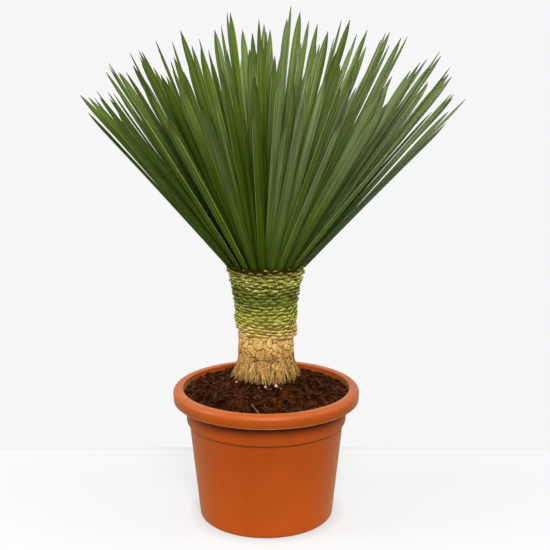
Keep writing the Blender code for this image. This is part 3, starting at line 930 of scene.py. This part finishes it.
def cut_base(shells, turn, z, radius, size, rise, tilt, arch, point, mark):
    """One cut leaf base, a flat lens in section that leans up and out to a clean cut end."""
    half_width, half_thick = size
    radial = around(1.0, turn, 0.0)
    tangent = around(1.0, turn + math.pi / 2, 0.0)
    direction = radial * math.cos(rise) + UP * math.sin(rise)
    normal = UP * math.cos(rise) - radial * math.sin(rise)
    side = tangent * math.cos(tilt) + normal * math.sin(tilt)
    lift = normal * math.cos(tilt) - tangent * math.sin(tilt)
    end = radial * radius + UP * z
    rings = []
    marks = []
    for depth, wide, thick, cut in BASE_RINGS:
        narrowed = wide * (1 - point * max(0.0, 1 - depth / BASE_POINT_LENGTH) ** 1.3)
        ring = []
        for k in range(BASE_SIDES):
            angle = math.tau * k / BASE_SIDES
            a = math.cos(angle)
            b = math.sin(angle) * abs(math.sin(angle)) ** 0.35
            offset = side * (a * half_width * narrowed)
            offset += lift * (b * half_thick * thick + arch * (1 - a * a))
            wrap = (a * half_width) ** 2 / (2 * radius)
            ring.append(end - direction * depth + offset - radial * wrap)
            marks.append((cut, *mark))
        rings.append(ring)
    shells.add(*loft(rings), marks)


def make_green_bases():
    """Fresh cut leaf bases in close rows, with a ragged frill of points just under the crown."""
    draw = random.Random(GREEN_SEED)
    shells = Shells()
    heights = [z for z, _ in TRUNK_OUTLINE if z >= DRY_TOP]
    trunk_core(shells, [(trunk_radius(z) - GREEN_CORE_DEPTH, z) for z in heights])
    pitch = (GREEN_TOP - DRY_TOP) / GREEN_ROWS
    for row in range(-STRAW_ROWS, GREEN_ROWS + 2):
        for column in range(GREEN_COLUMNS):
            turn = math.tau * (column + 0.5 * (row % 2) + draw.uniform(-0.16, 0.16)) / GREEN_COLUMNS
            level = DRY_TOP + pitch * (row + 0.15) + draw.uniform(-0.0008, 0.0008)
            frill = smooth((row / GREEN_ROWS - FRILL_START) / FRILL_GROW)
            stand = GREEN_STAND + FRILL_STAND * frill + draw.uniform(-0.0010, 0.0010) * (1 + frill)
            stand += STRAW_SINK * min(0, row)
            size = (draw.uniform(*BASE_HALF_WIDTH), draw.uniform(*BASE_HALF_THICKNESS))
            rise = math.radians(BASE_RISE - FRILL_DROP * frill + draw.uniform(-8, 8))
            tilt = math.radians(draw.gauss(0, 9))
            arch = draw.uniform(*BASE_ARCH)
            point = draw.uniform(0.05, 0.30) + FRILL_POINT * frill
            mark = (draw.random(), draw.uniform(0.88, 1.12))
            z = level - border_shift(turn, level)
            cut_base(shells, turn, z, trunk_radius(level) + stand, size, rise, tilt, arch, point, mark)
    green = shells.piece("green_leaf_bases", green_bases_finish(), 48)
    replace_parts(green, "trunk_green")


PAD_SEED = 19
DRY_COLUMNS = 17
DRY_ROWS = 4
DRY_SIDES = 380
DRY_RINGS = 104
DRY_HEM = 0.0030
PAD_RELIEF = 0.0015
PAD_STEP = 0.0006
PAD_SLOPE = 0.0005
PAD_TALLNESS = 0.30
PAD_NARROWNESS = 1.12
PAD_SLANT = 0.35
PAD_ROWS_NEAR = 2.6
CRACK_WIDTH = 0.23
# How far the cracks wander, and the pads' bumps: amount, size and layer of the noise
WANDER_ASIDE = ((0.0062, 0.0115, 0), (0.0014, 0.0030, 0))
WANDER_UP = ((0.0040, 0.0085, 5), (0.0016, 0.0034, 7))
PAD_BUMPS = ((0.0004, 0.0034, 9),)
WRINKLE_HEIGHT = 0.00032
WRINKLE_SIZE = 0.0016
WRINKLE_STRETCH = 0.35
DRY_INSET = 0.0016
DRY_TOP_LAP = 0.0045
HEM_RADIUS = 0.0362
HEM_SPAN = 0.0035
# The hem darkens to this share where it tucks in under the skirt: painted shade.
HEM_SHADE = 0.6
# The trunk's hidden foot from the plug's end up to the hem: radius and height
DRY_FOOT = (
    (PLUG_RADIUS, PLUG_BOTTOM),
    (PLUG_RADIUS, SKIRT_BOTTOM - 0.0015),
    (0.0425, SKIRT_BOTTOM),
    (0.0400, 0.2080),
    (0.0365, 0.2130),
)
# The foot's mark darkens it to near-black brown: painted shade behind the skirt.
FOOT_MARK = (0.1, 0.3, 0.55)


def dry_pads():
    """Rows of old pads, each with its share of a turn, height, step, tone and slant."""
    draw = random.Random(PAD_SEED)
    rows = []
    pitch = (DRY_TOP - SKIRT_TOP) / DRY_ROWS
    for row in range(-1, DRY_ROWS + 2):
        line = []
        for column in range(DRY_COLUMNS):
            share = (column + 0.5 * (row % 2) + draw.uniform(-0.34, 0.34)) / DRY_COLUMNS
            z = SKIRT_TOP + pitch * (row + 0.5) + draw.uniform(-0.36, 0.36) * pitch
            line.append((share, z, draw.uniform(-1, 1), draw.random(), draw.uniform(-0.8, 0.8)))
        rows.append(line)
    return rows


def waves(place, layers):
    """A sum of noises, each of its own amount, size and layer."""
    return sum(amount * noise.noise(place / size + UP * layer) for amount, size, layer in layers)


def dry_surface(pads, share, z):
    """The old bases' relief at a point of the trunk, how far from a crack it lies, and its tone."""
    pitch = (DRY_TOP - SKIRT_TOP) / DRY_ROWS
    place = around(trunk_radius(z), share * math.tau, z)
    share += waves(place, WANDER_ASIDE) / (math.tau * trunk_radius(z))
    z += waves(place, WANDER_UP)
    near = []
    for line in pads:
        if abs(line[0][1] - z) > pitch * PAD_ROWS_NEAR:
            continue
        for pad_share, pad_z, step, tone, slant in line:
            up = (z - pad_z) / pitch
            across = (share - pad_share + 0.5) % 1.0 - 0.5
            across = across * DRY_COLUMNS * PAD_NARROWNESS - slant * up * PAD_SLANT
            near.append((across * across + up * up * PAD_TALLNESS, step, tone, up))
    near.sort()
    first, second = near[0], near[1]
    crack = smooth((math.sqrt(second[0]) - math.sqrt(first[0])) / CRACK_WIDTH)
    relief = PAD_RELIEF * crack + PAD_STEP * first[1] - PAD_SLOPE * first[3]
    long_place = Vector((place.x, place.y, place.z * WRINKLE_STRETCH))
    wrinkle = WRINKLE_HEIGHT * noise.noise(long_place / WRINKLE_SIZE) + waves(place, PAD_BUMPS)
    return relief + wrinkle, crack, first[2]


def make_dry_bases():
    """Old straw-coloured bases as crooked pads with cracks between, and the plug in the soil."""
    shells = Shells()
    pads = dry_pads()
    rings = []
    turns = [math.tau * i / DRY_SIDES for i in range(DRY_SIDES)]
    for radius, z in DRY_FOOT:
        rings.append([around(radius, turn, z - border_shift(turn, z)) for turn in turns])
    rings.append([around(HEM_RADIUS - 0.0004, turn, skirt_top(turn) - DRY_HEM - 0.0012) for turn in turns])
    marks = [FOOT_MARK] * (DRY_SIDES * len(rings))
    high = DRY_TOP + DRY_TOP_LAP
    for k in range(DRY_RINGS + 1):
        ring = []
        for turn in turns:
            low = skirt_top(turn) - DRY_HEM
            z = low + (high - low) * k / DRY_RINGS
            relief, crack, tone = dry_surface(pads, turn / math.tau, z)
            hem = smooth((z - low) / HEM_SPAN)
            radius = HEM_RADIUS + (trunk_radius(z) - DRY_INSET + relief - HEM_RADIUS) * hem
            ring.append(around(radius, turn, z - border_shift(turn, z)))
            marks.append((crack * hem, tone, HEM_SHADE + (1 - HEM_SHADE) * hem))
        rings.append(ring)
    shells.add(*loft(rings), marks)
    dry = shells.piece("dry_leaf_bases", dry_bases_finish(), 60)
    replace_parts(dry, "trunk_dry")


SKIRT_SEED = 31
SKIRT_START_RADIUS = 0.0402
SKIRT_END_RADIUS = 0.0442
SKIRT_END_SPREAD = 0.0062
FIBRE_FLATNESS = 0.42
FIBRE_LEAST = 0.0005
SKIRT_TAPER = (0.6, 0.9, 1.0, 1.0, 0.95, 0.88, 0.75, 0.40)
# Layers of the skirt: number of fibres, depth, widths, shades, and the most left above the soil; the
# deeper layers' lower shades are painted shade among the fibres
SKIRT_LAYERS = (
    (110, 0.0026, (0.0030, 0.0046), (0.30, 0.50), 0.0000),
    (150, 0.0012, (0.0018, 0.0036), (0.50, 0.95), 0.0035),
    (150, 0.0000, (0.0012, 0.0032), (0.66, 1.30), 0.0080),
)
# Dead ends at the pads' lower edge, near-black as painted shadow at the trunk's sides: turn, top, bottom
# and width
PAINTED_SHADOW_TATTERS = (
    (-0.16, 0.2385, 0.2215, 0.0030),
    (-0.07, 0.2400, 0.2200, 0.0032),
    (0.03, 0.2375, 0.2210, 0.0030),
    (3.08, 0.2345, 0.2250, 0.0022),
    (3.20, 0.2360, 0.2240, 0.0024),
)
TATTER_RADIUS = 0.0374
TATTER_FLARE = 0.0022
TATTER_FLATNESS = 0.4
TATTER_TAPER = (0.4, 1.0, 1.0, 0.8, 0.3)
TATTER_PAINTED_SHADOW = (0.05, 0.1, 0.34)


def skirt_fibre(shells, draw, turn, depth, width_range, shade_range, short):
    """One frayed fibre of the oldest bases, from under the pads down to the soil."""
    swing = draw.gauss(0, 0.09)
    curl = draw.uniform(-0.06, 0.06)
    flare = draw.random()
    width = draw.uniform(*width_range)
    tone = draw.random()
    shade = draw.uniform(*shade_range)
    top = skirt_top(turn) + draw.uniform(-0.0045, 0.0012)
    start_radius = SKIRT_START_RADIUS - depth
    end_radius = SKIRT_END_RADIUS + SKIRT_END_SPREAD * flare**1.3 - depth
    end = around(end_radius, turn + swing, 0.0)
    bottom = soil_height(end.x, end.y) + 0.0010 + short * draw.random() ** 1.5
    curls = draw.uniform(1.0, 2.4)
    path = []
    marks = []
    last = len(SKIRT_TAPER) - 1
    for i in range(last + 1):
        share = i / last
        bulge = 0.0010 * math.sin(math.pi * share) + draw.uniform(-0.0007, 0.0007)
        radius = start_radius + (end_radius - start_radius) * share**1.9 + bulge
        way = turn + swing * share + curl * math.sin(math.pi * curls * share)
        path.append(around(radius, way, top + (bottom - top) * share))
        marks += [(0.62 - 0.05 * i, tone, shade * (1.0 - 0.04 * i))] * STRAND_SIDES
    widths = [width * w * draw.uniform(0.72, 1.25) for w in SKIRT_TAPER]
    outward = around(1.0, turn, 0.0)
    shells.add(*strand(path, widths, FIBRE_FLATNESS, outward, FIBRE_LEAST), marks)


def painted_shadow_tatter(shells, turn, high, low, width):
    """One dead end that hangs from the pads' lower edge, near-black as painted shadow."""
    path = []
    last = len(TATTER_TAPER) - 1
    for k in range(last + 1):
        radius = TATTER_RADIUS + TATTER_FLARE * k / last
        path.append(around(radius, turn + 0.02 * math.sin(k), high + (low - high) * k / last))
    widths = [width * w for w in TATTER_TAPER]
    shells.add(*strand(path, widths, TATTER_FLATNESS, around(1.0, turn, 0.0)), TATTER_PAINTED_SHADOW)


def make_skirt():
    """Three layers of frayed fibres with a few near-black dead ends among them as painted shadow."""
    draw = random.Random(SKIRT_SEED)
    shells = Shells()
    for count, *layer in SKIRT_LAYERS:
        for k in range(count):
            turn = math.tau * (k + draw.uniform(-0.45, 0.45)) / count
            skirt_fibre(shells, draw, turn, *layer)
    for tatter in PAINTED_SHADOW_TATTERS:
        painted_shadow_tatter(shells, *tatter)
    shells.piece("skirt_fibres", dry_bases_finish(), 60)


# Points across a blade from margin to margin
SECTION = (-1.0, -0.86, -0.45, 0.0, 0.45, 0.86, 1.0)
BLADE_SEED = 5
BLADE_STATIONS = 21
BLADE_FOOT_WIDTH = 0.84
BLADE_FOOT_LENGTH = 0.30
BLADE_TIP_START = 0.80
BLADE_TIP_POWER = 3.2
BLADE_END_WIDTH = 0.05
GUTTER_DEPTH = (0.0007, 0.0022)
DOME_RINGS = 7
# A blade's tone: least, random share, and growth with its lean to the right, which is painted light from
# the right
TONE_LEAST = 0.06
TONE_SPREAD = 0.64
PAINTED_LIGHT_TO_RIGHT = 1.10


def leaf_roots():
    """The leaves' places on a flat spiral, as (radius, turn) from the rim inwards."""
    places = []
    radius, turn = CROWN_ROOT_RADIUS, 0.0
    while radius > ROOT_TURN_SPACING * 0.5:
        places.append((radius, turn))
        turn += ROOT_SPACING / radius
        radius = CROWN_ROOT_RADIUS - ROOT_TURN_SPACING * turn / math.tau
    return places


def blade_width(share):
    """A blade's width along it: narrower at its foot, even, then drawn out to a spine."""
    foot = BLADE_FOOT_WIDTH + (1 - BLADE_FOOT_WIDTH) * smooth(share / BLADE_FOOT_LENGTH)
    taper = 1 - max(0.0, (share - BLADE_TIP_START) / (1 - BLADE_TIP_START)) ** BLADE_TIP_POWER
    return max(BLADE_END_WIDTH, foot * taper)


def make_blade(shells, number, radius, turn, draw, fine):
    """One stiff blade by the solid model's rule and draws, with a gutter, a keel and thin margins."""
    turn += draw.uniform(-LEAF_SWAY, LEAF_SWAY)
    height_on_dome = CORE_RISE * DOME_SHARE * (1 - (radius / CROWN_ROOT_RADIUS) ** 2)
    root = around(radius, turn, GREEN_TOP + ROOT_LIFT + height_on_dome)
    tilt = math.atan2(radius, root.z - LEAF_CENTRE_Z) + draw.gauss(0, TILT_SPREAD)
    lean = Matrix.Rotation(CROWN_LEAN, 3, "Y")
    along = lean @ around(math.sin(tilt), turn, math.cos(tilt))
    across = lean @ Vector((-math.sin(turn), math.cos(turn), 0.0))
    outward = across.cross(along)
    reach = draw.uniform(*LEAF_REACH)
    reach -= LONG_REACH_CUT * max(0.0, reach - LONG_REACH)
    reach *= 1 + REACH_TO_RIGHT * along.x
    reach *= 1 - REACH_FALL * (radius / CROWN_ROOT_RADIUS) ** 4
    reach *= 1 - max(0.0, along.x - RIGHT_LEAN)
    length = reach - (root - Vector((0.0, 0.0, LEAF_CENTRE_Z))).length
    bow = draw.uniform(*LEAF_BOW)
    twist_root = draw.gauss(0, TWIST_AT_ROOT)
    twist_more = draw.gauss(0, TWIST_AT_TIP)

    # Blades leaning right get a higher tone: painted light from the right.
    tone = TONE_LEAST + TONE_SPREAD * fine.random() + PAINTED_LIGHT_TO_RIGHT * along.x
    tone = min(0.99, max(0.0, tone))
    gutter = fine.uniform(*GUTTER_DEPTH)
    width = LEAF_WIDTH * fine.uniform(0.94, 1.07) * (1 + RIGHT_WIDER * max(0.0, along.x))
    rings = []
    marks = []
    for k in range(BLADE_STATIONS):
        share = 1 - (1 - k / (BLADE_STATIONS - 1)) ** 1.6
        twist = twist_root + twist_more * share
        side = across * math.cos(twist) + outward * math.sin(twist)
        back = outward * math.cos(twist) - across * math.sin(twist)
        middle = root + along * (length * share) + outward * (bow * share**2)
        wide = blade_width(share)
        half = width / 2 * wide
        thick = LEAF_THICKNESS * min(1.0, 0.35 + wide * 0.75)
        ring = []
        for u in SECTION:
            sunk = gutter * wide * (1 - abs(u) ** 1.25) - LEAF_EDGE / 2
            ring.append(middle + side * (half * u) + back * sunk)
        for u in reversed(SECTION):
            keel = gutter * wide * (1 - abs(u) ** 1.25)
            keel += (thick - LEAF_EDGE) * (1 - abs(u) ** 1.5) + LEAF_EDGE / 2
            ring.append(middle + side * (half * u) + back * keel)
        rings.append(ring)
        marks += [(u, share, number + tone) for u in SECTION + SECTION[::-1]]
    shells.add(*loft(rings), marks)


def make_crown():
    """All the blades, rooted in the low dark dome of the growing tip."""
    draw = random.Random(CROWN_SEED)
    fine = random.Random(BLADE_SEED)
    shells = Shells()
    base = GREEN_TOP + GAP
    rings = [[around(CORE_RADIUS - 0.001, turn, base) for turn in CORE_TURNS]]
    for k in range(DOME_RINGS):
        lift = math.pi / 2 * k / (DOME_RINGS - 0.6)
        radius, z = CORE_RADIUS * math.cos(lift), base + 0.0015 + CORE_RISE * math.sin(lift)
        rings.append([around(radius, turn, z) for turn in CORE_TURNS])
    shells.add(*loft(rings), (0.0, 0.0, 0.0))
    for number, (radius, turn) in enumerate(leaf_roots()):
        make_blade(shells, number, radius, turn, draw, fine)
    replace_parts(shells.piece("leaf_blades", leaf_finish(), 55), "leaf_crown")


def plate(name, near, far, tone, glow):
    """A plain plate of the stage floor between two distances, partly lit and partly glowing evenly, with a
    painted contact shadow round the pot's foot.
    """
    bm = bmesh.new()
    bmesh.ops.create_cube(bm, size=1.0)
    for vert in bm.verts:
        vert.co.x *= 2 * FLOOR_HALF_WIDTH
        vert.co.y = near if vert.co.y < 0 else far
        vert.co.z = 0.0 if vert.co.z > 0 else -FLOOR_THICKNESS
    mesh = mesh_of(bm, name)
    look = Finish(name + "_pale", 0.9, 0.0)
    look.shader.inputs["Base Color"].default_value = (tone, tone, tone, 1.0)
    # Painted contact shadow: the floor's glow dims and warms towards the pot's foot.
    painted_contact_shadow = look.spread(look.length(look.place()), BASE_RADIUS + PAINTED_CONTACT_SHADOW_REACH, BASE_RADIUS)
    look.join(look.mix(painted_contact_shadow, (1.0, 1.0, 1.0), PAINTED_CONTACT_SHADOW_TONE), look.shader.inputs["Emission Color"])
    look.shader.inputs["Emission Strength"].default_value = glow
    mesh.materials.append(look.material)
    obj = placed(name, mesh)
    obj.visible_diffuse = False
    obj.visible_glossy = False


def make_floor():
    """A pale table top that ends behind the plant in a faint line."""
    edge = FLOOR_BACK - FLOOR_LINE
    plate("floor", FLOOR_FRONT, edge, FLOOR_TONE, FLOOR_GLOW)
    tone, glow = FLOOR_TONE * FLOOR_LINE_SHADE, FLOOR_GLOW * FLOOR_LINE_SHADE
    plate("floor_line", edge + FLOOR_LINE_GAP, FLOOR_BACK, tone, glow)


def area_light(name, place, target, size, power):
    light = bpy.data.lights.new(name, "AREA")
    light.shape = "DISK"
    light.size = size
    light.energy = power
    obj = placed(name, light)
    obj.location = place
    obj.rotation_euler = (Vector(target) - Vector(place)).to_track_quat("-Z", "Y").to_euler()


def make_light():
    """A pale room, brighter overhead and behind, with a broad light in front and one at each side."""
    world = bpy.data.worlds.new("pale_room")
    bpy.context.scene.world = world
    world.use_nodes = True
    room = Nodes(world.node_tree)
    seen = room.tree.nodes["Background"]
    seen.inputs["Color"].default_value = ROOM_SEEN
    way = room.node("SeparateXYZ", {0: room.node("TexCoord", {}).outputs["Generated"]}).outputs
    glow = room.plus(room.spread(way["Z"], *ROOM_GLOW), room.spread(way["Y"], *WALL_GLOW))
    lit = room.node("Background", {"Strength": glow})
    ray = room.node("LightPath", {}).outputs["Is Camera Ray"]
    pick = room.node("MixShader", {0: ray, 1: lit.outputs[0], 2: seen.outputs[0]})
    room.join(pick.outputs[0], room.tree.nodes["World Output"].inputs["Surface"])
    for light in LIGHTS:
        area_light(*light)


def make_camera():
    camera = placed("camera", bpy.data.cameras.new("camera"))
    camera.data.lens = CAMERA_LENS
    camera.data.clip_start, camera.data.clip_end = CAMERA_CLIP
    camera.location = CAMERA_PLACE
    camera.rotation_euler = (math.pi / 2 - CAMERA_PITCH, 0.0, 0.0)
    bpy.context.scene.camera = camera


make_camera()
make_light()
make_floor()
bpy.context.scene.view_settings.view_transform = "Standard"
make_pot()
make_soil()
make_soil_crumbs()
make_soil_litter()
make_dry_bases()
make_skirt()
make_green_bases()
make_crown()
